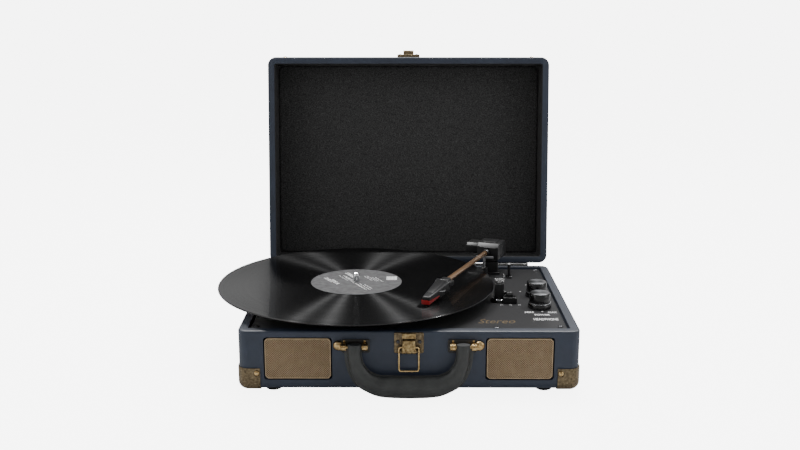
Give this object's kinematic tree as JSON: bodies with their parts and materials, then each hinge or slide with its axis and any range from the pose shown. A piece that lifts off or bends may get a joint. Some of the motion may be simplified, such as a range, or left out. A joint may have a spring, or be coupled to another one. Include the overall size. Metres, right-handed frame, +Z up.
{
  "type": "suitcase record player",
  "caption": "Portable record player in a navy leatherette case, lid open, with a 12-inch record, copper-toned tonearm, carrying handle and front speakers.",
  "frame": {"origin": "on the standing surface, under the middle of the whole object's bounding box, lid and record included", "axes": "+X to the right seen from the front, +Y to the back, +Z up; the front with the handle faces -Y"},
  "size_m": [0.3797, 0.3557, 0.3259],
  "materials": {
    "leatherette": "grained vinyl-coated cloth over wood board",
    "deck": "fine satin grain",
    "black_plastic": "moulded, semi-gloss",
    "lining": "grained black lining",
    "hardboard": "smooth pressed hardboard",
    "rubber": "matt moulded",
    "vinyl": "pressed with fine grooves",
    "handle_skin": "self-skinned foam, satin",
    "brass": "antique plated, satin",
    "bronze_mesh": "pressed mesh, satin lacquer",
    "copper_tube": "copper-coloured lacquer",
    "chrome": "polished",
    "steel": "zinc plated",
    "red_plastic": "moulded",
    "board": "lacquered laminate"
  },
  "bodies": {
    "base": {"arm_rest": "black_plastic", "base_case": "leatherette", "base_corner_1": "brass", "base_corner_2": "brass", "base_corner_3": "brass", "base_corner_4": "brass", "bottom_panel": "hardboard", "control_board": "board", "deck_plate": "deck", "drive_belt": "rubber", "foot_1": "rubber", "foot_2": "rubber", "foot_3": "rubber", "foot_4": "rubber", "handle_bracket_l": "brass", "handle_bracket_r": "brass", "headphone_socket": "steel", "hinge_base_leaf_l": "brass", "hinge_base_leaf_r": "brass", "hinge_pin_l": "steel", "hinge_pin_r": "steel", "latch_plate": "brass", "motor": "steel", "rear_socket_panel": "black_plastic", "speaker_driver_l": "black_plastic", "speaker_driver_r": "black_plastic", "speaker_grille_l": "bronze_mesh", "speaker_grille_r": "bronze_mesh", "spindle": "chrome", "tonearm_base": "black_plastic"},
    "platter": {"platter": "black_plastic", "platter_mat": "rubber", "record": "vinyl"},
    "pulley": {"motor_pulley": "brass"},
    "swivel": {"tonearm_yoke": "black_plastic"},
    "arm": {"arm_pivot_pin": "steel", "tonearm_tube": "copper_tube", "arm_hood": "black_plastic", "counterweight": "black_plastic", "headshell": "black_plastic", "cartridge": "black_plastic", "stylus": "red_plastic"},
    "cue": {"cue_lever": "black_plastic"},
    "lifter": {"lift_bar": "chrome"},
    "volume": {"volume_knob": "black_plastic"},
    "function": {"function_knob": "black_plastic"},
    "speed": {"speed_switch": "black_plastic"},
    "auto_stop": {"auto_stop_switch": "black_plastic"},
    "grip": {"handle": "handle_skin"},
    "lever": {"latch_lever": "brass"},
    "bail": {"latch_bail": "brass"},
    "lid": {"lid_shell": "leatherette", "lid_lining": "lining", "lid_catch": "brass", "hinge_lid_leaf_l": "brass", "hinge_lid_leaf_r": "brass", "lid_corner_1": "brass", "lid_corner_2": "brass", "lid_corner_3": "brass", "lid_corner_4": "brass"}
  },
  "joints": [
    {"name": "platter_spin", "type": "hinge", "parent": "base", "child": "platter", "pos_m": [-0.0389, -0.0268, 0.075], "axis": [0, 0, -1], "continuous": true},
    {"name": "pulley_spin", "type": "hinge", "parent": "base", "child": "pulley", "pos_m": [-0.0989, -0.0868, 0.072], "axis": [0, 0, -1], "continuous": true},
    {"name": "tonearm_swing", "type": "hinge", "parent": "base", "child": "swivel", "pos_m": [0.1171, 0.0712, 0.083], "axis": [0, 0, 1], "range_deg": [-18, 22.9]},
    {"name": "tonearm_lift", "type": "hinge", "parent": "swivel", "child": "arm", "pos_m": [0.1171, 0.0712, 0.095], "axis": [-0.9198, 0.3923, 0], "range_deg": [0, 8]},
    {"name": "lifter_rise", "type": "slide", "parent": "base", "child": "lifter", "axis": [0, 0, 1], "range_m": [0, 0.0034]},
    {"name": "cue_tilt", "type": "hinge", "parent": "base", "child": "cue", "pos_m": [0.1374, 0.0512, 0.065], "axis": [1, 0, 0], "range_deg": [0, 40.5]},
    {"name": "volume_turn", "type": "hinge", "parent": "base", "child": "volume", "pos_m": [0.1582, -0.0688, 0.075], "axis": [0, 0, -1], "range_deg": [0, 270]},
    {"name": "function_turn", "type": "hinge", "parent": "base", "child": "function", "pos_m": [0.1602, -0.0271, 0.075], "axis": [0, 0, -1], "range_deg": [0, 60]},
    {"name": "speed_slide", "type": "slide", "parent": "base", "child": "speed", "axis": [1, 0, 0], "range_m": [-0.003, 0.003]},
    {"name": "auto_stop_slide", "type": "slide", "parent": "base", "child": "auto_stop", "axis": [1, 0, 0], "range_m": [0, 0.003]},
    {"name": "handle_fold", "type": "hinge", "parent": "base", "child": "grip", "pos_m": [0.0186, -0.1613, 0.0545], "axis": [-1, 0, 0], "range_deg": [0, 95]},
    {"name": "latch_open", "type": "hinge", "parent": "base", "child": "lever", "pos_m": [0.0186, -0.1578, 0.0486], "axis": [1, 0, 0], "range_deg": [0, 95]},
    {"name": "bail_swing", "type": "hinge", "parent": "lever", "child": "bail", "pos_m": [0.0186, -0.1577, 0.053], "axis": [-1, 0, 0], "range_deg": [0, 248]},
    {"name": "lid_hinge", "type": "hinge", "parent": "base", "child": "lid", "pos_m": [0.0186, 0.09845, 0.0684], "axis": [1, 0, 0], "range_deg": [0, 11]}
  ],
  "couplings": [
    {"joint": "pulley_spin", "follows": "platter_spin", "ratio": 12},
    {"joint": "lifter_rise", "follows": "tonearm_lift", "m_per_rad": 0.024},
    {"joint": "cue_tilt", "follows": "tonearm_lift", "ratio": 5},
    {"joint": "bail_swing", "follows": "latch_open", "ratio": 2.6}
  ]
}
